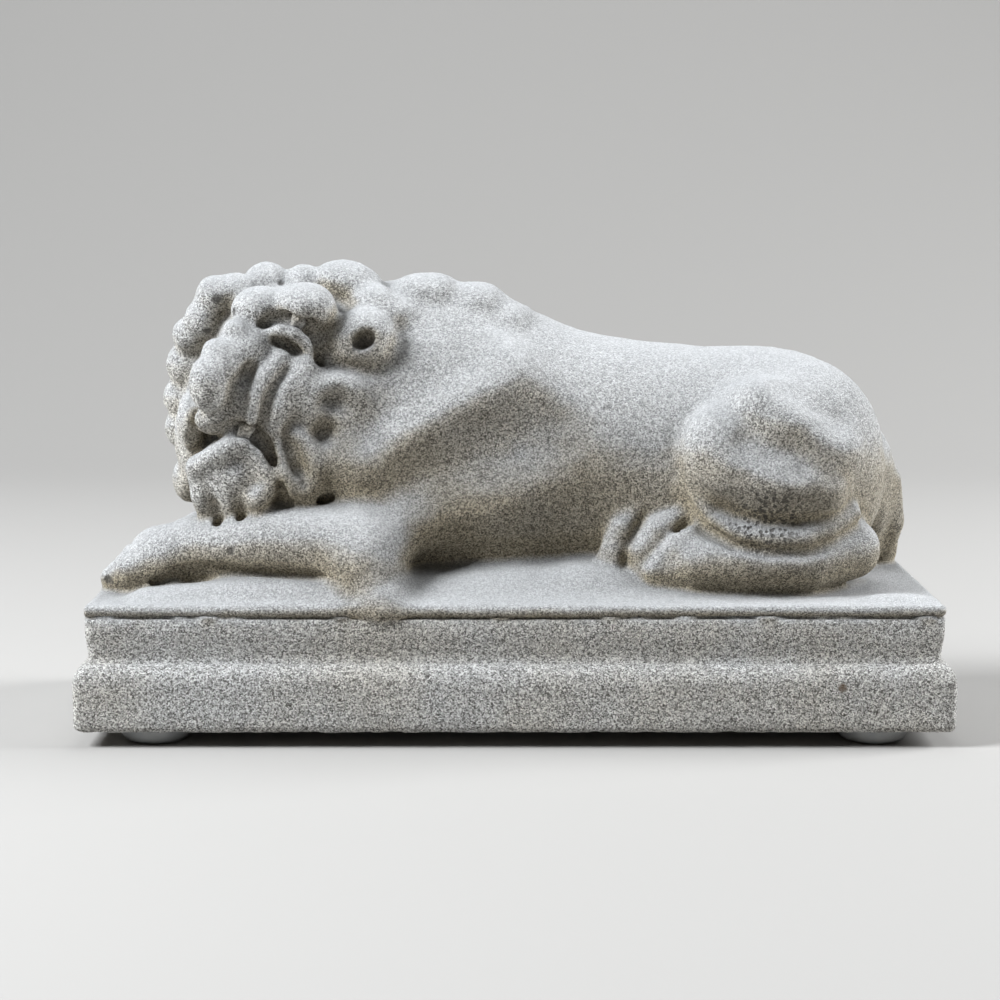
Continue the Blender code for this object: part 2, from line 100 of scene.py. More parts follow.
class Shader:
    # A material's node tree, built by naming each node's type, settings and inputs
    def __init__(self, name):
        self.material = bpy.data.materials.new(name)
        self.material.use_nodes = True
        self.tree = self.material.node_tree
        self.surface = self.tree.nodes["Principled BSDF"]

    def node(self, kind, output=0, settings=None, inputs=None):
        made = self.tree.nodes.new(kind)
        for name, value in (settings or {}).items():
            setattr(made, name, value)
        for name, value in (inputs or {}).items():
            plug(self.tree, made.inputs[name], value)
        return Wire(self.tree, made.outputs[output])

    def mix(self, share, first, second, blend="MIX"):
        settings = {"data_type": "RGBA", "blend_type": blend}
        made = self.node("ShaderNodeMix", 2, settings)
        node = made.socket.node
        plug(self.tree, node.inputs[0], share)
        plug(self.tree, node.inputs[6], first)
        plug(self.tree, node.inputs[7], second)
        return made

    def noise(self, place, scale, detail=2.0, roughness=0.5):
        inputs = {"Vector": place, "Scale": scale, "Detail": detail, "Roughness": roughness}
        return self.node("ShaderNodeTexNoise", 0, None, inputs)

    def cells(self, place, scale, output=0):
        return self.node("ShaderNodeTexVoronoi", output, None, {"Vector": place, "Scale": scale})

    def distance(self, place, middle):
        made = self.tree.nodes.new("ShaderNodeVectorMath")
        made.operation = "DISTANCE"
        plug(self.tree, made.inputs[0], place)
        made.inputs[1].default_value = middle
        return Wire(self.tree, made.outputs["Value"])

    def paint(self, **inputs):
        for name, value in inputs.items():
            plug(self.tree, self.surface.inputs[name.replace("_", " ")], value)
        return self.material


stoneLook = {
    "pale": (0.88, 0.88, 0.86, 1),
    "middle": (0.44, 0.435, 0.42, 1),
    "dark": (0.075, 0.07, 0.06, 1),
    # Cooler, calmer grey of the painted top light on faces that look up
    "topLitGrey": (0.515, 0.525, 0.535, 1),
    # Warm tint for the stone's own warmth and for the warm painted shade
    "warm": (1.0, 0.87, 0.64, 1),
    "brown": (0.13, 0.08, 0.045, 1),
    "grainSize": 0.00037,
    "fineGrainSize": 0.00026,
    "clumpScale": 0.3,
    "patchSize": 0.03,
    "pepperSize": 0.0017,
    # Shares of the coarse grain, the fine grain and the clumps in a speck's tone, and what lifts them all
    "grainShares": (0.8, 0.9, 0.3, 0.1),
    # Where a tone starts and how wide it fades in, then how strong it gets
    "middleTone": (0.1, 0.35),
    "paleTone": (0.5, 0.4),
    "pepper": (0.24, 0.1, 0.6),
    # How far faces that look up turn to the painted top light's grey
    "paintedTopLight": 0.75,
    # What warms the stone: patches, hollows as warm painted shade, facing up as cooler painted top light,
    # and everywhere
    "warmthWithPaintedLight": (0.8, 1.3, -0.8, 0.15),
    # Painted shade in hollows and on low steep faces: where it starts, how wide it fades in, and how strong
    # it gets
    "paintedShade": (0.05, 0.4, 0.36),
    "poreSize": 0.0016,
    "poreTone": (0.42, 0.12, 0.8),
    "poreEdge": 0.4,
    "pores": ((0.0725, -0.0325, 0.0640), 0.0125),
    "pits": (
        (-0.0860, -0.0169, 0.1252), (-0.0682, -0.0086, 0.1289), (-0.0803, -0.0241, 0.1218),
        (-0.0893, -0.0145, 0.1159), (-0.0811, -0.0334, 0.0541), (-0.1178, -0.0238, 0.0441),
    ),
    "pitSize": 0.0016,
    "pitEdge": 0.6,
    "lump": ((0.0264, -0.0223, 0.0956), 0.0022),
    "stain": ((0.0923, -0.0490, 0.0175), 0.0016),
    "stainTone": (0.4, 0.8),
    "rimDepth": 0.5,
    "grainDepth": 0.0006,
    "poreDepth": 0.0012,
    "roughness": 0.95,
}


def makeStone(look):
    stone = Shader("sandyCastStone")
    place = stone.node("ShaderNodeTexCoord", 3)
    rim = stone.cells(place, 1 / look["grainSize"])
    cellColour = stone.cells(place, 1 / look["grainSize"], output=1)
    coarse = stone.node("ShaderNodeSeparateColor", 0, None, {"Color": cellColour})
    fine = stone.noise(place, 1 / look["fineGrainSize"], 1.0, 0.6)
    clump = stone.noise(place, look["clumpScale"] / look["grainSize"], 2.0, 0.6)
    patch = stone.noise(place, 1 / look["patchSize"], 3.0, 0.55)
    pepper = stone.cells(place, 1 / look["pepperSize"])
    # Masks for the painted shade in hollows and on low steep faces, and for the painted top light on faces
    # that look up
    paintedShadeMask = stone.node("ShaderNodeAttribute", 2, {"attribute_name": "paintedShadeMask"})
    upward = stone.node("ShaderNodeAttribute", 2, {"attribute_name": "upward"})

    # Grain, and dark grains strewn among the rest
    coarseShare, fineShare, clumpShare, lift = look["grainShares"]
    speck = coarse * coarseShare + (fine - 0.5) * fineShare + (clump - 0.5) * clumpShare + lift
    colour = stone.mix(speck.above(*look["middleTone"]), look["dark"], look["middle"])
    colour = stone.mix(speck.above(*look["paleTone"]), colour, look["pale"])
    edge, width, strength = look["pepper"]
    colour = stone.mix((edge - pepper).above(0.0, width) * strength, colour, look["dark"])

    # Painted top light: faces that look up turn a calmer, cooler grey, and painted shade makes low or
    # hollow places warmer and darker
    colour = stone.mix(upward * look["paintedTopLight"], colour, look["topLitGrey"])
    # Warmth from patches and an even tint is the stone's own; warmth in hollows is painted shade, and less
    # warmth on faces that look up is painted top light
    patchWarmth, paintedShadeWarmth, paintedTopLightWarmth, warmEverywhere = look["warmthWithPaintedLight"]
    warmthWithPaintedLight = (patch - 0.5) * patchWarmth + paintedShadeMask * paintedShadeWarmth + upward * paintedTopLightWarmth + warmEverywhere
    colour = stone.mix(warmthWithPaintedLight.above(0.0, 1.0), colour, look["warm"], "MULTIPLY")
    # Painted shade darkens the hollows and the low steep faces
    edge, width, strength = look["paintedShade"]
    colour = stone.mix(paintedShadeMask.above(edge, width) * strength, colour, look["dark"])

    # Open pores under the thigh's ridge, and single pits on the head and the forearm
    edge, width, strength = look["poreTone"]
    pore = (edge - stone.cells(place, 1 / look["poreSize"])).above(0.0, width)
    middle, reach = look["pores"]
    pored = pore * (1.0 - stone.distance(place, middle) / reach).above(0.0, look["poreEdge"])
    for pit in look["pits"]:
        pored = pored + (1.0 - stone.distance(place, pit) / look["pitSize"]).above(0.0, look["pitEdge"])
    colour = stone.mix(pored * strength, colour, look["dark"])

    # A lump on the flank, and a brown stain low on the front
    middle, reach = look["lump"]
    lump = (1.0 - stone.distance(place, middle) / reach).above(0.0, 1.0)
    middle, reach = look["stain"]
    width, strength = look["stainTone"]
    stained = (1.0 - stone.distance(place, middle) / reach + (fine - 0.5)).above(0.0, width)
    colour = stone.mix(stained * strength, colour, look["brown"])

    height = speck - rim * look["rimDepth"] - (pored - lump) * (look["poreDepth"] / look["grainDepth"])
    bumpInputs = {"Strength": 1.0, "Distance": look["grainDepth"], "Height": height}
    bump = stone.node("ShaderNodeBump", 0, None, bumpInputs)
    return stone.paint(Base_Color=colour, Roughness=look["roughness"], Normal=bump)


rubberLook = {
    "light": (0.30, 0.31, 0.31, 1),
    "dusty": (0.42, 0.41, 0.39, 1),
    "dustSize": 0.004,
    "dust": (0.4, 0.3, 0.5),
    "roughness": (0.3, 0.3),
}


def makeRubber(look):
    rubber = Shader("greyRubber")
    place = rubber.node("ShaderNodeTexCoord", 3)
    dust = rubber.noise(place, 1 / look["dustSize"], 4.0, 0.6)
    edge, width, strength = look["dust"]
    colour = rubber.mix(dust.above(edge, width) * strength, look["light"], look["dusty"])
    least, more = look["roughness"]
    return rubber.paint(Base_Color=colour, Roughness=dust * more + least)


stoneMaterial = makeStone(stoneLook)
rubberMaterial = makeRubber(rubberLook)
print("materials made")


def addPiece(name, mesh, material):
    mesh.materials.clear()
    mesh.materials.append(material)
    piece = bpy.data.objects.new(name, mesh)
    bpy.context.scene.collection.objects.link(piece)
    return piece


def shownMesh(piece):
    graph = bpy.context.evaluated_depsgraph_get()
    return bpy.data.meshes.new_from_object(piece.evaluated_get(graph))


# The lion's forms, as in clay: lumps and rolls pressed together, then hollows cut.
# Places and sizes are in shares of the lion's length, and height counts from the plinth's top.
farAway = 1e3
widestBlend = 18


class Ball:
    # A long or flat ball, tilted about the axis that runs into the plinth
    def __init__(self, x, y, z, rx, ry, rz, blend, tilt=0, cut=False):
        self.middle = np.array((x, y, z), dtype=float)
        self.radii = np.array((rx, ry, rz), dtype=float)
        self.blend = blend
        self.cut = cut
        self.turn = Matrix.Rotation(math.radians(tilt), 3, "Y")
        self.axes = np.array(self.turn)
        self.reach = max(rx, ry, rz)

    def distance(self, points):
        local = (points - self.middle) @ self.axes
        scaled = np.linalg.norm(local / self.radii, axis=1)
        slope = np.linalg.norm(local / self.radii ** 2, axis=1)
        return scaled * (scaled - 1) / np.maximum(slope, 1e-9)

    def places(self):
        turned = Matrix.Translation(Vector(self.middle)) @ self.turn.to_4x4()
        return [turned @ Matrix.Diagonal((*self.radii, 1))]


class Roll:
    # A bent roll through points, with a radius at each
    stampSpacing = 0.5

    def __init__(self, points, radii, blend, cut=False):
        self.points = np.array(points, dtype=float)
        self.radii = radii
        self.blend = blend
        self.cut = cut
        self.middle = (self.points.min(axis=0) + self.points.max(axis=0)) / 2
        self.reach = np.linalg.norm(self.points - self.middle, axis=1).max() + max(radii)

    def distance(self, points):
        best = np.full(len(points), farAway)
        for start, end, first, last in zip(self.points, self.points[1:], self.radii, self.radii[1:]):
            along = end - start
            share = np.clip((points - start) @ along / (along @ along), 0, 1)
            gap = np.linalg.norm(points - start - share[:, None] * along, axis=1)
            best = np.minimum(best, gap - first - (last - first) * share)
        return best

    def places(self):
        balls = []
        for start, end, first, last in zip(self.points, self.points[1:], self.radii, self.radii[1:]):
            spacing = self.stampSpacing * min(first, last)
            steps = max(2, math.ceil(np.linalg.norm(end - start) / spacing))
            for step in range(steps + 1):
                share = step / steps
                middle = Vector(start + (end - start) * share)
                balls.append(Matrix.Translation(middle) @ Matrix.Scale(first + (last - first) * share, 4))
        return balls


class Slab:
    # The plinth's top slab, a flat block with rounded edges
    def __init__(self, halfX, halfY, low, high, edge, blend):
        self.middle = np.array((0, 0, (low + high) / 2))
        self.half = np.array((halfX, halfY, (high - low) / 2))
        self.edge = edge
        self.blend = blend
        self.cut = False
        self.reach = math.hypot(halfX, halfY)

    def distance(self, points):
        over = np.abs(points - self.middle) - self.half + self.edge
        outside = np.linalg.norm(np.maximum(over, 0), axis=1)
        return outside + np.minimum(over.max(axis=1), 0) - self.edge

    def addMesh(self, build):
        place = Matrix.Translation(Vector(self.middle)) @ Matrix.Diagonal((*(self.half * 2), 1))
        bmesh.ops.create_cube(build, size=1.0, matrix=place)


class Under:
    # All that lies below a level, cut away
    def __init__(self, level, blend):
        self.middle = np.array((0, 0, level))
        self.blend = blend
        self.cut = True
        self.reach = farAway

    def distance(self, points):
        return points[:, 2] - self.middle[2]


lionValues = {
    "length": 0.2420,
    "shares": 242.0,
    "step": 1.0,
    "triangles": 140000,
    "slabBlend": 8,
    "undersideBlend": 0.8,
    "spare": 4,
    "sinks": (3, 8, 4),
    "evening": 0.3,
    "probe": 0.05,
    "flattest": 0.2,
}

plinthValues = {
    "baseBandHeight": 0.0138,
    "baseEdgeRadius": 0.0020,
    "slopeHeight": 0.0056,
    "waistInset": 0.0042,
    "waistHeight": 0.0083,
    "bandInset": 0.0033,
    "bandHeight": 0.0043,
    "grooveWidth": 0.0007,
    "grooveDepth": 0.0011,
    "slabThickness": 0.0033,
    "slabEdgeRadius": 0.0014,
    "cornerRadius": 0.0025,
    "step": 0.0013,
    # Turns of the rounded lower edge and of the slope, in degrees, and rows up the flat parts, as shares
    "edgeTurns": (0, 22, 45, 68, 90),
    "slopeTurns": (0, 15, 30, 45, 60, 75, 90),
    "baseBandRows": (0.3, 0.45, 0.6, 0.75, 0.88),
    "waistRows": (0.27, 0.66),
    "bandRows": (0.35, 0.7, 1.0),
    "grooveRows": (0.2, 2.0),
}


def bodyForms():
    return [
        # Ribs, withers, loin and rump
        Ball(-8, 3, 34, 49, 31, 37, 1),
        Ball(10, 3, 50, 31, 25, 24, 14),
        Ball(42, 4, 33.5, 50, 29, 37.5, 12),
        Ball(76, 4, 32.5, 35, 32, 37, 10),
        # Neck under the mane, the skull and the throat
        Ball(-28, 2, 55, 46, 26, 35, 12),
        Ball(-64, 2, 54, 33, 27, 35, 10),
        Ball(-60, -13, 38, 17, 17, 20, 8),
        # Near shoulder blade and upper arm
        Ball(-14, -17, 45, 26, 10.5, 22, 12, tilt=25),
        Roll([(-19, -17, 36), (-34, -25, 20), (-42, -31, 11)], [9, 8.5, 10], 13),
        # Ridge from the neck across the shoulder
        Roll([(-42, -24.5, 41), (-24, -25, 52), (-4, -21, 63)], [4.6, 5, 4.5], 14),
        # Far shoulder, upper arm and elbow
        Ball(-14, 18, 44, 26, 14, 24, 10, tilt=25),
        Roll([(-16, 20, 38), (-36, 26, 22), (-46, 27, 12)], [12, 10, 9], 12),
    ]


def groundForms():
    return [
        # The low bank under the lion, higher beside the forearm and along the belly
        Ball(-2, 0, -10, 116, 43, 19, 8),
        Roll([(-104, -31, -5), (-76, -33.5, -3), (-50, -34.8, -2.2)], [8, 9, 9], 4),
        Roll([(-30, -30, -6), (0, -26, -3.5), (28, -24, -3)], [8, 9, 9], 8),
        Ball(22, -24, 2, 10, 8, 5.5, 6),
        Ball(109, -37, -1, 9, 5, 2.6, 4),
    ]


def elbowForms():
    return [
        # Elbow that runs over the plinth's front edge and across its groove
        Roll([(-43, -33.5, 9), (-38.5, -38.3, 1), (-38, -39.6, -2)], [9, 6.8, 5.4], 7),
    ]


def forelegForms():
    return [
        # Near forearm, wrist and paw
        Roll([(-46, -30, 14), (-68, -27, 16), (-89, -21, 13.5), (-104, -18, 10.5)], [12, 10.5, 9, 8.3], 5),
        Roll([(-102, -21, 9.5), (-111, -21.5, 6.5), (-117, -20, 3.8)], [8, 6, 3.8], 3),
        Roll([(-102, -13, 10), (-111, -11, 7), (-116.5, -10, 4)], [8, 6, 4], 3),
        # Far forearm and paw behind it
        Roll([(-46, 27, 12), (-72, 19, 13), (-94, 8, 11), (-106, 3, 8)], [9, 10, 9, 7], 5),
        Roll([(-104, 1, 8), (-113, -1, 5)], [7, 4.5], 3),
        Roll([(-104, 7, 7), (-112, 6, 4.5)], [6, 4], 3),
        # Stone left between the two under the chin
        Ball(-72, -3, 8, 28, 15, 12, 4),
    ]


def hindForms():
    return [
        # Near thigh: its egg-shaped mass, the knee, the hip and the ridge above its lower edge
        Ball(86, -10, 42, 20, 18, 23, 8),
        Ball(75, -15.5, 39, 27, 21, 24, 3),
        Ball(59, -24.5, 41, 11.4, 11, 14, 3),
        Roll([(71, -26.5, 56), (81, -27, 50), (91, -25.5, 42)], [6, 6.8, 6.4], 7),
        Roll([(63, -30, 36.5), (75, -31.5, 33), (89, -30, 30)], [5, 6, 5], 7),
        Roll([(50.5, -25, 32), (55.5, -28, 22.8), (62.5, -30, 19), (72, -31.5, 17.3), (82, -31, 17),
              (90, -28.5, 19.5), (97, -23, 23)], [3.4] * 7, 3),
        # Shank and near foot under the thigh
        Roll([(98, -17, 12), (84, -24.5, 10), (66, -26, 10.5), (52, -26.5, 9.5), (43.5, -26.5, 6)],
             [9, 9.5, 10, 8.5, 5.4], 2.5),
        Roll([(66, -25, 16), (56, -25, 18)], [7, 5], 3),
        Roll([(54.5, -26, 20), (46.5, -27.8, 14.5), (40, -28, 7)], [3.4, 3.8, 3.8], 2),
        # Far hind foot, whose toes come out on the near side
        Roll([(49.5, -22, 23.5), (41.5, -24, 18.5), (37, -24.5, 12), (36.5, -24.5, 6)],
             [3.6, 4.6, 4.6, 4], 1.8),
        Roll([(37, -19.5, 27), (31, -22.5, 19), (28, -23.5, 10), (27.5, -23.5, 5)], [3, 4, 4, 3.6], 1.8),
        Roll([(100, -12, 14), (103, -10, 8)], [4, 4], 3),
        # Far haunch
        Ball(78, 22, 30, 30, 17, 25, 10),
        Roll([(98, 28, 7), (70, 32, 8), (52, 30, 6)], [7, 8, 6], 5),
    ]


def tailForms():
    return [
        # The tail hangs from the rump, turns on the plinth's back corner and ends in a tuft
        Roll([(104, 12, 44), (114, 20, 28), (117, 27, 14), (115.5, 34, 5)], [6, 5, 4.5, 4.4], 4),
        Roll([(115.5, 34, 5), (106, 39, 4), (84, 39.5, 4), (68, 39, 4)], [4.4, 4.2, 4.2, 4.4], 3),
        Roll([(68, 39, 4), (58, 38, 4.5), (46, 39, 3)], [4.4, 6, 2], 2),
        # Stone between the rump and the tail
        Roll([(106, 11, 34), (108, 18, 20), (107, 27, 9)], [8, 7.5, 7.5], 5),
    ]


def headForms():
    return [
        # Skull, the slope of the forehead and the bridge of the nose
        Ball(-67, -12.5, 66, 20, 15, 22, 6),
        Roll([(-71, -20, 74), (-77, -26, 70.5), (-83, -31.5, 67)], [8, 7.2, 5.6], 3),
        Ball(-79.5, -27.2, 76.2, 3.8, 4.2, 3.6, 2.2),
        Ball(-85, -31.2, 70.6, 3.8, 4.2, 3.6, 2.5),
        # Nose, the lip under it and the two sides of the muzzle
        Ball(-86.5, -35.3, 61.8, 5.6, 5.2, 8, 2.5),
        Ball(-79.5, -27.5, 56, 8, 7.5, 9, 3),
        Ball(-86, -27.5, 52, 6.4, 6, 5.5, 3),
        Ball(-93.3, -21.5, 50, 4.2, 6.5, 8.5, 2),
        # Folds of the near cheek
        Roll([(-66.5, -27.4, 69), (-71.5, -30.6, 63.5), (-74.3, -32.4, 58), (-75, -32.8, 52)],
             [3.4, 3.4, 3.4, 3], 2),
        Roll([(-60.5, -26.5, 66), (-65.3, -29, 60), (-67.8, -30, 54), (-69.3, -30, 49.5)],
             [4.2, 4.2, 4, 3.4], 2.5),
        Ball(-60, -22, 57, 9, 9, 12, 4),
        # Lower jaw with its lip, its corner and the beard
        Ball(-80, -23, 36, 11.4, 10.4, 10.4, 3),
        Ball(-91, -8, 44, 9, 12, 15, 3),
        Roll([(-77.5, -31.8, 46), (-84, -32, 42), (-91, -27.5, 37.5)], [3.2, 3.2, 3.4], 2),
        Roll([(-77, -31, 45), (-72.5, -30.5, 40), (-70, -30.5, 33), (-73.5, -31, 28.5)],
             [3.4, 3.6, 3.6, 3.4], 3),
        Roll([(-91, -25.5, 36), (-90, -25.5, 29), (-88.5, -21, 21)], [3.4, 3.4, 3], 2),
        Roll([(-82, -28, 33), (-81.8, -27, 27), (-81, -23, 21)], [3.2, 3, 3], 2),
        Roll([(-75, -27.5, 30), (-75, -23, 21)], [4.2, 3.6], 2),
        Ball(-82, -17, 25, 9, 9, 8, 3),
        # Upper eyelid
        Roll([(-70, -27.6, 75.8), (-66.3, -29, 77), (-62.8, -29, 76), (-60, -28.2, 73), (-58.3, -27.4, 70)],
             [1.6, 2, 2, 1.8, 1.5], 1.2),
    ]


def maneForms():
    return [
        # Locks over the brow
        Ball(-59.8, -22.5, 83.2, 8.8, 9.5, 6.8, 2.4, tilt=8),
        Ball(-73.8, -19.5, 82, 7.8, 8.4, 6.8, 3, tilt=-12),
        Ball(-87, -10, 85.6, 6, 7, 6, 2.4),
        Ball(-81, -9, 86.4, 5.8, 7, 6, 2.4),
        Ball(-73, -2, 88.8, 6.8, 8, 6.4, 2.6),
        Ball(-62, -2, 88.6, 6.2, 8, 6, 2.6),
        # Locks along the crest
        Ball(-48.5, -4, 88.4, 10.6, 9.5, 7.2, 2.6, tilt=16),
        Ball(-41, -12, 83.5, 7, 7, 5.5, 3),
        Ball(-28, -4, 85.4, 8, 9, 6.6, 3),
        Ball(-34.5, -13, 80.5, 6, 6, 4.5, 3.5),
        Ball(-22, -4, 85.8, 6, 8, 5.8, 3),
        Ball(-10.5, -3, 82.4, 8.6, 9, 7, 3.2),
        Ball(-1.5, -4, 78, 6, 8, 5, 4),
        # Locks down the far side of the face
        Ball(-90.5, -9, 79, 6, 7, 5.8, 2.6),
        Ball(-95, -4, 74, 5.8, 7, 5.4, 2.6),
        Ball(-97.6, 0, 65, 5.6, 7, 6.6, 2.6),
        Ball(-99.4, 3, 55, 5.4, 7, 5.8, 2.6),
        Ball(-99.4, 5, 45.5, 5.4, 7, 6, 2.6),
        Ball(-96, -3, 31, 5.6, 8, 7, 3),
        # Near ear
        Ball(-44.2, -21.2, 74.2, 9.6, 7.6, 8.2, 4, tilt=-20),
        # Curled lock behind the jaw
        Roll([(-67.8, -27, 50), (-69.5, -28.5, 46.5), (-68.3, -30, 42), (-65.8, -30.5, 36),
              (-63.3, -29.5, 31.5), (-60, -28.5, 30), (-58, -28.5, 33), (-57.3, -28.5, 38),
              (-59, -28.5, 43), (-62.5, -28.5, 47)],
             [3, 3.2, 3.4, 3.6, 3.6, 3.4, 3.4, 3.4, 3.4, 3], 2),
        Ball(-62, -22, 40, 8, 8.5, 12, 3, tilt=15),
        # Second curl under the ear
        Roll([(-58, -26.5, 50), (-59.5, -27, 56), (-56.5, -27, 60), (-51, -26.5, 61.5), (-46, -25.5, 59.5)],
             [3.2, 3.4, 3.4, 3.4, 3.2], 2.5),
        Ball(-48, -20.5, 52, 11, 9, 12, 5),
        # Neck behind the jaw
        Ball(-45, -16, 38, 17, 13, 19, 6),
    ]


farManeValues = {
    "locks": 7,
    "first": -92,
    "apart": 14,
    "crest": 80,
    "crestMiddle": -50,
    "crestBend": 0.006,
}


def farManeForms(values):
    # Far side of the head, and the plainer locks that hang over it from the crest
    locks = [Ball(-80, 8, 52, 19, 19, 29, 6)]
    for number in range(values["locks"]):
        x = values["first"] + values["apart"] * number
        top = values["crest"] - values["crestBend"] * (x - values["crestMiddle"]) ** 2
        locks.append(Roll(
            [(x + 5, 11, top), (x + 1, 22, top - 14), (x - 4, 27, top - 30), (x + 1, 25, top - 44)],
            [7, 7.5, 6.5, 4], 3,
        ))
    return locks


def hollowForms():
    return [
        # Crease under the brow, down to the outer corner of the eye
        Roll([(-72.5, -26.5, 77.4), (-69, -27.5, 79.6), (-64, -28, 80.3), (-58.8, -28, 79),
              (-55.8, -27.5, 75.8), (-54.8, -26.5, 71.8), (-56.6, -26, 67.4)],
             [1.4, 2, 2.6, 2.6, 2.3, 2, 2.2], 1, cut=True),
        # Eye
        Roll([(-68, -27.4, 73.8), (-65.2, -27.4, 72.3), (-62.4, -27, 70.6)],
             [1.6, 2.3, 1.9], 0.8, cut=True),
        # Ear
        Ball(-43, -29, 73.8, 3.6, 7, 2.9, 1.2, tilt=-28, cut=True),
        # Grooves of the cheek, and the hollow beside the nose
        Roll([(-64.5, -31.2, 66), (-69.6, -33.8, 58.5), (-71.6, -34.2, 51)],
             [0.9, 1.3, 1.5], 1.5, cut=True),
        Roll([(-75.5, -32.5, 66), (-77.6, -35.5, 60.5), (-78.6, -36.2, 53)], [1.8, 2.8, 2.8], 2, cut=True),
        # Mouth, from under the nose to the corner and down the jaw
        Roll([(-93, -27, 45.5), (-87, -33, 47.5), (-80, -33.5, 49.3), (-75, -32.5, 47.8),
              (-71, -31.5, 43.8), (-68.3, -31.5, 38.5), (-66.7, -31.5, 32), (-65.5, -30, 27.5)],
             [1.4, 1.8, 2.2, 2.6, 2.3, 1.7, 1.5, 1.5], 1.2, cut=True),
        Roll([(-90.5, -30, 57), (-91, -28, 50)], [1.2, 1.4], 1.5, cut=True),
        # Beard
        Roll([(-86.3, -29.5, 27), (-85, -26.5, 20)], [1.2, 1.8], 1, cut=True),
        Roll([(-78.5, -30.5, 25.5), (-78, -27, 19)], [1.2, 2], 1, cut=True),
        # Inside the two curls, and under them
        Roll([(-64, -32.5, 43.5), (-61.8, -32, 37.5)], [1.9, 2.1], 2, cut=True),
        Ball(-51.8, -30, 56.5, 3.4, 2.6, 2.6, 3, tilt=-30, cut=True),
        Ball(-54.6, -29.5, 47.6, 2.6, 2.6, 3, 3, cut=True),
        Roll([(-63, -27, 26.8), (-58, -27, 26.2), (-53, -27, 28.5)], [1.6, 2.1, 1.6], 1.2, cut=True),
        # Gap between the face and its far locks
        Roll([(-83.5, -23, 79.5), (-89, -21, 74.5), (-92.5, -20, 67), (-95, -20, 60)],
             [1.6, 1.8, 2, 1.8], 1.5, cut=True),
        # Valley of the neck, and the hollow under the shoulder's ridge
        Roll([(-40, -36, 50), (-26, -37, 60), (-12, -32, 71)], [4.5, 6, 4], 14, cut=True),
        Roll([(-24, -38, 33), (-8, -37, 41), (8, -35, 47)], [6, 7, 5], 16, cut=True),
        # Under the forearm
        Roll([(-108, -25, 2.6), (-98, -27.5, 6), (-88, -29.5, 8), (-74, -32, 7.6), (-58, -37, 7.4),
              (-48, -42, 7.6)], [1, 1.5, 1.6, 1.6, 1.5, 1], 1.5, cut=True),
        # Over the hip, in front of it, and over the thigh's lower edge
        Roll([(78, -31, 64), (93, -32, 53)], [3.5, 4], 7, cut=True),
        Roll([(67, -40, 46), (80, -40.5, 42)], [3.5, 4], 7, cut=True),
        Roll([(57, -37, 26.5), (70, -40, 25), (84, -38.5, 24)], [2.6, 3.4, 3], 4, cut=True),
        # Crease under the thigh, and the groove between the two feet
        Roll([(47, -27.5, 33), (50, -28, 25.5), (54.5, -30, 19.8), (62, -33, 15.6), (72, -35, 13.6),
              (84, -34, 13.4), (93, -31, 16), (101, -25, 20)],
             [1.4, 1.8, 1.8, 1.8, 1.8, 1.8, 1.8, 1.6], 1.5, cut=True),
        Roll([(50.5, -27, 21), (43, -27.5, 14.5), (38.5, -28, 8)], [1.2, 1.3, 1.2], 1, cut=True),
    ]


def stampedForms(forms):
    # All the added forms as overlapping balls and blocks, for the first skin to be drawn over
    unit = bmesh.new()
    bmesh.ops.create_icosphere(unit, subdivisions=3, radius=1.0)
    ball = bpy.data.meshes.new("ball")
    unit.to_mesh(ball)
    unit.free()
    build = bmesh.new()
    for form in forms:
        if isinstance(form, Slab):
            form.addMesh(build)
        elif not form.cut:
            for place in form.places():
                stamp = ball.copy()
                stamp.transform(place)
                build.from_mesh(stamp)
                bpy.data.meshes.remove(stamp)
    mesh = bpy.data.meshes.new("lion")
    build.to_mesh(mesh)
    build.free()
    return mesh


def formsNear(points, forms):
    # For each form, the points that it or its blend can reach
    return [
        np.flatnonzero(((points - form.middle) ** 2).sum(axis=1) < (form.reach + widestBlend) ** 2)
        for form in forms
    ]


def distanceToLion(points, forms, picks):
    # Each form in turn is added to those before it, or cut from them, with a soft join
    near = np.full(len(points), farAway)
    for form, picked in zip(forms, picks):
        if len(picked) == 0:
            continue
        before = near[picked]
        own = form.distance(points[picked])
        if form.cut:
            own = -own
        touch = np.maximum(form.blend - np.abs(before - own), 0) / form.blend
        join = touch ** 2 * form.blend / 4
        near[picked] = np.maximum(before, own) + join if form.cut else np.minimum(before, own) - join
    return near


def meshPoints(mesh):
    points = np.empty(len(mesh.vertices) * 3)
    mesh.vertices.foreach_get("co", points)
    return points.reshape(-1, 3)


def meshNormals(mesh):
    normals = np.empty(len(mesh.vertices) * 3)
    mesh.vertex_normals.foreach_get("vector", normals)
    return normals.reshape(-1, 3)


def meshNeighbours(mesh):
    ends = np.empty(len(mesh.edges) * 2, dtype=int)
    mesh.edges.foreach_get("vertices", ends)
    return ends.reshape(-1, 2)


def neighbourMean(values, ends):
    count = np.maximum(np.bincount(ends.ravel(), minlength=len(values)), 1)
    mean = np.empty_like(values)
    for axis in range(values.shape[1]):
        total = np.bincount(ends[:, 0], values[ends[:, 1], axis], len(values))
        total += np.bincount(ends[:, 1], values[ends[:, 0], axis], len(values))
        mean[:, axis] = total / count
    return mean


def setPoints(mesh, points):
    mesh.vertices.foreach_set("co", points.ravel())
    mesh.update()


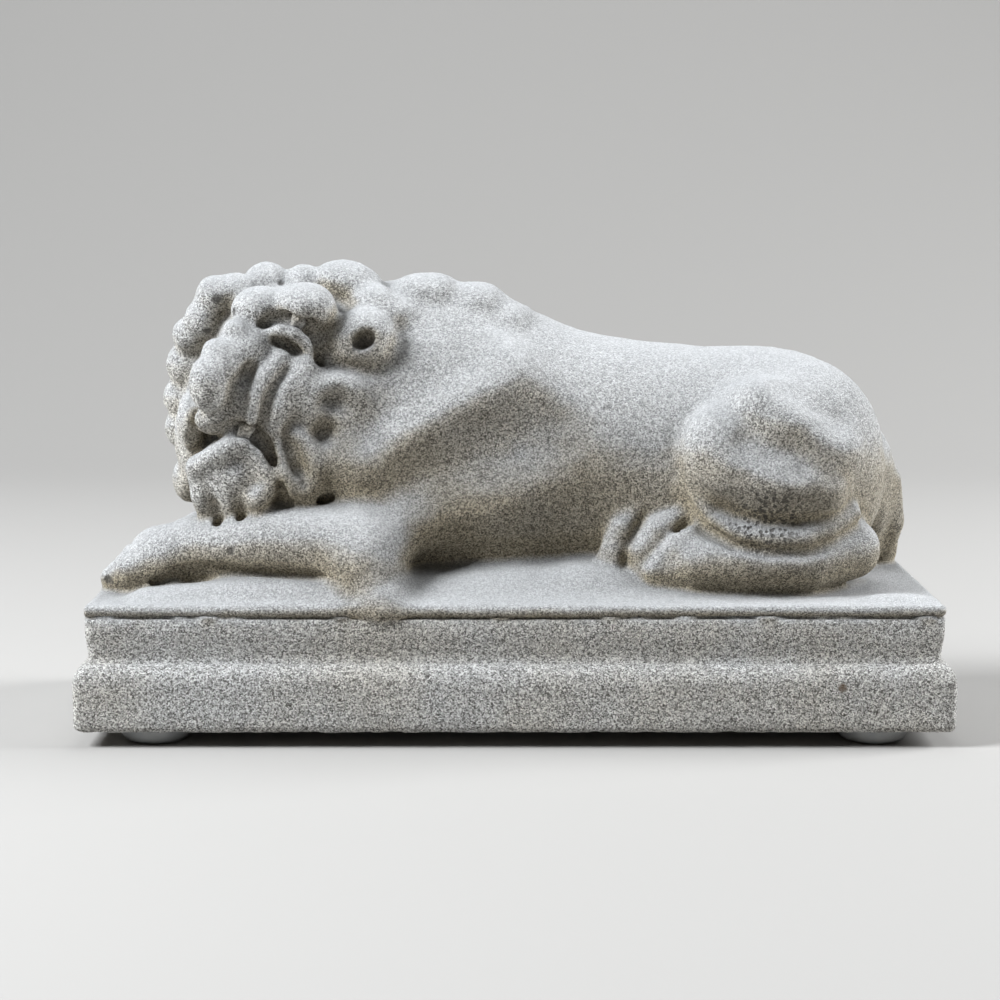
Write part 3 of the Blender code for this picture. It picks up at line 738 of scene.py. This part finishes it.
def pullToLion(mesh, forms, sinks, values):
    # The skin moves in or out along its own normals, and at last straight to the nearest surface
    points = meshPoints(mesh)
    ends = meshNeighbours(mesh)
    for turn in range(sinks):
        here = distanceToLion(points, forms, formsNear(points, forms))
        points = points - np.clip(here, -1, 1)[:, None] * meshNormals(mesh)
        points += values["evening"] * (neighbourMean(points, ends) - points)
        setPoints(mesh, points)
    picks = formsNear(points, forms)
    here = distanceToLion(points, forms, picks)
    slope = np.empty_like(points)
    for axis in range(3):
        moved = points.copy()
        moved[:, axis] += values["probe"]
        slope[:, axis] = (distanceToLion(moved, forms, picks) - here) / values["probe"]
    steep = np.maximum((slope ** 2).sum(axis=1), values["flattest"])
    setPoints(mesh, points - np.clip(here / steep, -1, 1)[:, None] * slope)


def keepLargest(mesh):
    # Loose crumbs that the hollows cut free are dropped
    build = bmesh.new()
    build.from_mesh(mesh)
    build.verts.ensure_lookup_table()
    left = set(range(len(build.verts)))
    groups = []
    while left:
        group = [left.pop()]
        for index in group:
            for edge in build.verts[index].link_edges:
                other = edge.other_vert(build.verts[index]).index
                if other in left:
                    left.remove(other)
                    group.append(other)
        groups.append(group)
    groups.sort(key=len)
    crumbs = [build.verts[index] for group in groups[:-1] for index in group]
    bmesh.ops.delete(build, geom=crumbs, context="VERTS")
    build.to_mesh(mesh)
    build.free()


def trimmed(mesh, level):
    # Everything below the level goes, and the open bottom is closed
    build = bmesh.new()
    build.from_mesh(mesh)
    cut = bmesh.ops.bisect_plane(
        build, geom=build.verts[:] + build.edges[:] + build.faces[:],
        plane_co=(0, 0, level), plane_no=(0, 0, 1), clear_inner=True,
    )
    edges = [item for item in cut["geom_cut"] if isinstance(item, bmesh.types.BMEdge)]
    bmesh.ops.holes_fill(build, edges=edges, sides=0)
    build.to_mesh(mesh)
    build.free()


def makeLion(values, plinth, plinthTop):
    # A skin over the added forms first, then over all of them, then once more for an even mesh
    share = values["length"] / values["shares"]
    halfX = (castHigh.x - castLow.x) / 2 - plinth["bandInset"]
    halfY = (castHigh.y - castLow.y) / 2 - plinth["bandInset"]
    slabLow = -plinth["slabThickness"] / share
    edge = plinth["slabEdgeRadius"] / share
    slab = Slab(halfX / share, halfY / share, slabLow, 0, edge, values["slabBlend"])
    forms = bodyForms() + [slab] + groundForms() + forelegForms() + hindForms() + tailForms()
    forms += headForms() + maneForms() + farManeForms(farManeValues) + hollowForms()
    forms += [Under(slabLow, values["undersideBlend"])] + elbowForms()
    adding = [form for form in forms if not form.cut]
    mesh = stampedForms(forms)
    for shapes, sinks in zip((adding, forms, forms), values["sinks"]):
        clay = addPiece("clay", mesh, stoneMaterial)
        skin = clay.modifiers.new("skin", "REMESH")
        skin.mode = "VOXEL"
        skin.voxel_size = values["step"]
        mesh = shownMesh(clay)
        bpy.data.objects.remove(clay, do_unlink=True)
        if shapes is adding:
            trimmed(mesh, slabLow - values["spare"])
        keepLargest(mesh)
        pullToLion(mesh, shapes, sinks, values)
    mesh.transform(Matrix.Translation((0, 0, plinthTop)) @ Matrix.Scale(share, 4))
    clay = addPiece("clay", mesh, stoneMaterial)
    fewer = clay.modifiers.new("fewer", "DECIMATE")
    fewer.ratio = values["triangles"] / sum(len(face.vertices) - 2 for face in mesh.polygons)
    mesh = shownMesh(clay)
    bpy.data.objects.remove(clay, do_unlink=True)
    return mesh, forms


wearValues = {
    "swell": 0.00022,
    "swellSize": 0.0045,
    "grit": 0.00016,
    "gritSize": 0.0016,
    "crumble": 0.0005,
    "crumbleSize": 0.0022,
    "crumbleHeight": 0.0016,
    "fill": 0.0012,
    "fillSize": 0.0075,
    "fillSpread": 2.5,
    "grooveShare": 0.7,
    "grooveReach": 0.006,
}


def wear(mesh, values, plinth, grooveHeight):
    # Sandy unevenness all over, a crumbled lower edge, and sand caught here and there in the groove
    points = meshPoints(mesh)
    shift = np.array([
        values["swell"] * noise.noise(Vector(point / values["swellSize"]))
        + values["grit"] * noise.noise(Vector(point / values["gritSize"]))
        for point in points
    ])
    points = points + shift[:, None] * meshNormals(mesh)
    low = points[:, 2].min()
    for index in np.flatnonzero(points[:, 2] < low + values["crumbleHeight"]):
        spot = Vector(points[index] / values["crumbleSize"])
        points[index, 2] += values["crumble"] * max(0.0, noise.noise(spot))
    insets = (castHigh.x, castHigh.y) - np.abs(points[:, :2])
    inset = insets.min(axis=1)
    recessed = inset > plinth["bandInset"] + plinth["grooveDepth"] * values["grooveShare"]
    inGroove = np.abs(points[:, 2] - grooveHeight) < plinth["grooveWidth"]
    for index in np.flatnonzero(recessed & inGroove & (inset < values["grooveReach"])):
        spot = Vector(points[index] / values["fillSize"])
        across = int(np.argmin(insets[index]))
        filled = values["fill"] * min(1.0, max(0.0, noise.noise(spot) * values["fillSpread"]))
        points[index, across] += math.copysign(filled, points[index, across])
    setPoints(mesh, points)


def addShares(mesh, name, shares):
    layer = mesh.attributes.new(name, "FLOAT", "POINT")
    layer.data.foreach_set("value", shares.astype(np.float32))


surfaceValues = {
    # How far out a hollow is felt for, and how much each reach counts
    "reaches": ((1.5, 0.3), (4.0, 0.35), (9.0, 0.35)),
    "upwardPower": 0.7,
    # Painted shade lies on steep faces up to a height, lower on the head, and thins out over a fade
    "headShadeTop": 35,
    "bodyShadeTop": 60,
    "shadeFade": 30,
    "headEdge": -85,
    "headFade": 25,
    "hollowShare": 0.85,
    "hollowLess": 0.1,
    "lowShadeShare": 0.5,
    "plinthUpward": 0.15,
    "smoothing": 3,
}


def markSurface(mesh, values, forms, share, plinthTop, plinthLow):
    # How much painted shade each point gets, from how hollow it is, read from the forms around it, and how
    # low and steep it is, and how far it faces up, which sets the painted top light
    points = meshPoints(mesh)
    normals = meshNormals(mesh)
    local = (points - (0, 0, plinthTop)) / share
    # How closed in each point is by the forms around it, for painted shade in the hollows
    paintedShadeMask = np.zeros(len(points))
    for reach, part in values["reaches"]:
        probes = local + normals * reach
        gap = distanceToLion(probes, forms, formsNear(probes, forms))
        paintedShadeMask += part * np.clip(1 - gap / reach, 0, 1)
    # How far each point faces up, for the painted top light and the cooler tint on top
    upward = np.clip(normals[:, 2], 0, 1) ** values["upwardPower"]
    # Painted shade on steep faces below a height, lower on the head
    body = np.clip((local[:, 0] - values["headEdge"]) / values["headFade"], 0, 1)
    shadeTop = values["headShadeTop"] + (values["bodyShadeTop"] - values["headShadeTop"]) * body
    paintedShade = (1 - upward) * np.clip((shadeTop - local[:, 2]) / values["shadeFade"], 0, 1)
    # Painted shade in hollows and on low steep faces together
    paintedShadeMask = paintedShadeMask * values["hollowShare"] - values["hollowLess"] + paintedShade * values["lowShadeShare"]
    paintedShadeMask = np.clip(paintedShadeMask, 0, 1)
    # The plinth gets no painted shade and only a little painted top light
    onPlinth = points[:, 2] < plinthLow
    paintedShadeMask[onPlinth] = 0
    upward[onPlinth] *= values["plinthUpward"]
    ends = meshNeighbours(mesh)
    marks = np.stack([paintedShadeMask, upward], axis=1)
    for turn in range(values["smoothing"]):
        marks = (marks + neighbourMean(marks, ends)) / 2
    addShares(mesh, "paintedShadeMask", marks[:, 0])
    addShares(mesh, "upward", marks[:, 1])


def plinthProfile(values):
    # Insets from the base's outline against heights, from the underside to the core inside the slab
    slopeLow = values["baseBandHeight"]
    slopeTop = slopeLow + values["slopeHeight"]
    bandLow = slopeTop + values["waistHeight"]
    bandTop = bandLow + values["bandHeight"]
    radius = values["baseEdgeRadius"]
    rows = []
    for turn in np.radians(values["edgeTurns"]):
        rows.append((radius * (1 - math.sin(turn)), radius * (1 - math.cos(turn))))
    for part in values["baseBandRows"]:
        rows.append((0, slopeLow * part))
    for turn in np.radians(values["slopeTurns"]):
        height = slopeLow + values["slopeHeight"] * math.sin(turn)
        rows.append((values["waistInset"] * (1 - math.cos(turn)), height))
    middle = (values["waistInset"] + values["bandInset"]) / 2
    for inset, part in zip((values["waistInset"], middle), values["waistRows"]):
        rows.append((inset, slopeTop + values["waistHeight"] * part))
    rows.append((values["bandInset"], bandLow))
    for part in values["bandRows"]:
        rows.append((values["bandInset"], bandLow + values["bandHeight"] * part))
    for part in values["grooveRows"]:
        rows.append((values["bandInset"] + values["grooveDepth"], bandTop + values["grooveWidth"] * part))
    return rows


def makePlinth(values, underside):
    insets, heights = np.array(plinthProfile(values)).T
    length, depth = castHigh.x - castLow.x, castHigh.y - castLow.y
    build = bmesh.new()
    top = heights[-1]
    place = Matrix.Translation((0, 0, top / 2)) @ Matrix.Diagonal((length, depth, top, 1))
    bmesh.ops.create_cube(build, size=1.0, matrix=place)
    caps = [face for face in build.faces if abs(face.normal.z) > 0.5]
    bmesh.ops.delete(build, geom=caps, context="FACES_ONLY")
    upright = [edge for edge in build.edges if abs(edge.verts[0].co.z - edge.verts[1].co.z) > top / 2]
    bmesh.ops.bevel(
        build, geom=upright, offset=values["cornerRadius"], offset_type="OFFSET", segments=4, profile=0.5,
        affect="EDGES", material=-1,
    )
    # Rows at the profile's heights, and columns a step apart that keep clear of the rounded corners
    planes = [((0, 0, height), (0, 0, 1)) for height in heights[1:-1]]
    for across, size in ((Vector((1, 0, 0)), length), (Vector((0, 1, 0)), depth)):
        columns = np.arange(-size / 2, size / 2, values["step"])[2:-1]
        planes += [(across * column, across) for column in columns]
    for middle, way in planes:
        bmesh.ops.bisect_plane(
            build, geom=build.verts[:] + build.edges[:] + build.faces[:], plane_co=middle, plane_no=way,
        )
    for vert in build.verts:
        inset = float(np.interp(vert.co.z, heights, insets))
        vert.co.x *= 1 - inset / (length / 2)
        vert.co.y *= 1 - inset / (depth / 2)
    rims = [edge for edge in build.edges if edge.is_boundary]
    bmesh.ops.holes_fill(build, edges=rims, sides=0)
    bmesh.ops.recalc_face_normals(build, faces=build.faces)
    mesh = bpy.data.meshes.new("plinth")
    build.to_mesh(mesh)
    build.free()
    mesh.transform(Matrix.Translation((0, 0, underside)))
    return mesh


def makeStatue(lionShape, plinthShape):
    plinthHeight = sum(plinthShape[name] for name in (
        "baseBandHeight", "slopeHeight", "waistHeight", "bandHeight", "grooveWidth", "slabThickness",
    ))
    statue = addPiece("lion_on_plinth", makePlinth(plinthShape, castLow.z), stoneMaterial)
    plinthTop = castLow.z + plinthHeight
    carved, forms = makeLion(lionShape, plinthShape, plinthTop)
    carving = addPiece("carving", carved, stoneMaterial)
    print("lion modelled:", len(carving.data.polygons), "faces")
    union = statue.modifiers.new("one casting", "BOOLEAN")
    union.operation = "UNION"
    union.solver = "EXACT"
    union.object = carving
    mesh = shownMesh(statue)
    statue.modifiers.clear()
    statue.data = mesh
    bpy.data.objects.remove(carving, do_unlink=True)
    mesh.shade_smooth()
    grooveLow = plinthTop - plinthShape["slabThickness"] - plinthShape["grooveWidth"]
    wear(mesh, wearValues, plinthShape, grooveLow + plinthShape["grooveWidth"] / 2)
    share = lionShape["length"] / lionShape["shares"]
    markSurface(mesh, surfaceValues, forms, share, plinthTop, grooveLow)
    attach(statue, "root")
    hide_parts("lion_and_plinth")
    print("statue cast in one:", len(mesh.polygons), "faces")


makeStatue(lionValues, plinthValues)

footValues = {
    "topRadius": 0.0105,
    "soleRadius": 0.0094,
    "edgeRadius": 0.0022,
    "sharpAngle": 50,
}


def makeFoot(values, node):
    low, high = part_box(node)
    build = bmesh.new()
    place = Matrix.Translation((low + high) / 2)
    bmesh.ops.create_cone(
        build, cap_ends=True, segments=96, radius1=values["soleRadius"], radius2=values["topRadius"],
        depth=high.z - low.z, matrix=place,
    )
    lower = [edge for edge in build.edges if max(vert.co.z for vert in edge.verts) < (low.z + high.z) / 2]
    bmesh.ops.bevel(
        build, geom=lower, offset=values["edgeRadius"], offset_type="OFFSET", segments=8, profile=0.5,
        affect="EDGES", material=-1,
    )
    mesh = bpy.data.meshes.new(node)
    build.to_mesh(mesh)
    build.free()
    mesh.shade_smooth()
    mesh.set_sharp_from_angle(angle=math.radians(values["sharpAngle"]))
    foot = addPiece("rubber_" + node, mesh, rubberMaterial)
    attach(foot, "root")
    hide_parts(node)


for footNode in ("front_left_foot", "front_right_foot", "back_left_foot", "back_right_foot"):
    makeFoot(footValues, footNode)
print("rubber feet made")


cameraValues = {
    "place": (-0.0042, -0.7067, 0.1559),
    "pitch": 7.37,
    "lens": 85.7,
    "sensor": 36,
}


def makeCamera(values):
    data = bpy.data.cameras.new("camera")
    data.lens = values["lens"]
    data.sensor_width = values["sensor"]
    camera = bpy.data.objects.new("camera", data)
    camera.location = values["place"]
    camera.rotation_euler = (math.radians(90 - values["pitch"]), 0, 0)
    bpy.context.scene.collection.objects.link(camera)
    bpy.context.scene.camera = camera


makeCamera(cameraValues)

lightValues = {
    "above": {"place": (0.02, 0.20, 1.25), "size": 0.9, "power": 6.0, "colour": (0.92, 0.96, 1.0)},
    "left": {"place": (-0.95, -0.34, 0.9), "size": 0.5, "power": 37.0, "colour": (0.93, 0.96, 1.0)},
    "right": {"place": (1.1, 0.14, 0.6), "size": 0.6, "power": 25.0, "colour": (0.95, 0.97, 1.0)},
    "front": {"place": (-0.1, -1.5, 0.5), "size": 0.8, "power": 0.2, "colour": (1.0, 0.92, 0.82)},
}


lightTarget = Vector((0, 0, 0.05))


def makeLight(name, values):
    data = bpy.data.lights.new(name, "AREA")
    data.size = values["size"]
    data.energy = values["power"]
    data.color = values["colour"]
    light = bpy.data.objects.new(name, data)
    light.location = values["place"]
    light.rotation_euler = (lightTarget - light.location).to_track_quat("-Z", "Y").to_euler()
    bpy.context.scene.collection.objects.link(light)


for lightName, values in lightValues.items():
    makeLight(lightName, values)

stageValues = {
    "width": 6.0,
    "front": -2.5,
    "back": 1.3,
    "height": 2.0,
    "curve": 0.7,
    "colour": (0.34, 0.33, 0.315, 1),
    "roughness": 0.8,
    "glow": (1.0, 0.95, 0.88, 1),
    "glowPower": 0.03,
}


def makeStage(values):
    # A floor that curves up into a wall at the back
    build = bmesh.new()
    depth = values["back"] - values["front"]
    size = Matrix.Diagonal((values["width"] / 2, depth / 2, 1, 1))
    place = Matrix.Translation((0, values["front"] + depth / 2, 0)) @ size
    bmesh.ops.create_grid(build, x_segments=1, y_segments=1, size=1.0, matrix=place)
    backEdge = [edge for edge in build.edges if min(vert.co.y for vert in edge.verts) > 0]
    risen = bmesh.ops.extrude_edge_only(build, edges=backEdge)
    bmesh.ops.translate(
        build, vec=(0, 0, values["height"]),
        verts=[item for item in risen["geom"] if isinstance(item, bmesh.types.BMVert)],
    )
    bmesh.ops.bevel(
        build, geom=backEdge, offset=values["curve"], offset_type="OFFSET", segments=24, profile=0.5,
        affect="EDGES", material=-1,
    )
    bmesh.ops.recalc_face_normals(build, faces=build.faces)
    mesh = bpy.data.meshes.new("backdrop")
    build.to_mesh(mesh)
    build.free()
    mesh.shade_smooth()
    look = Shader("paleBackdrop").paint(Base_Color=values["colour"], Roughness=values["roughness"])
    backdrop = addPiece("backdrop", mesh, look)
    world = bpy.data.worlds.new("softSurround")
    world.use_nodes = True
    background = world.node_tree.nodes["Background"]
    background.inputs["Color"].default_value = values["glow"]
    background.inputs["Strength"].default_value = values["glowPower"]
    bpy.context.scene.world = world
    bpy.context.scene.view_settings.view_transform = "Standard"


makeStage(stageValues)
print("camera, lights and floor placed")
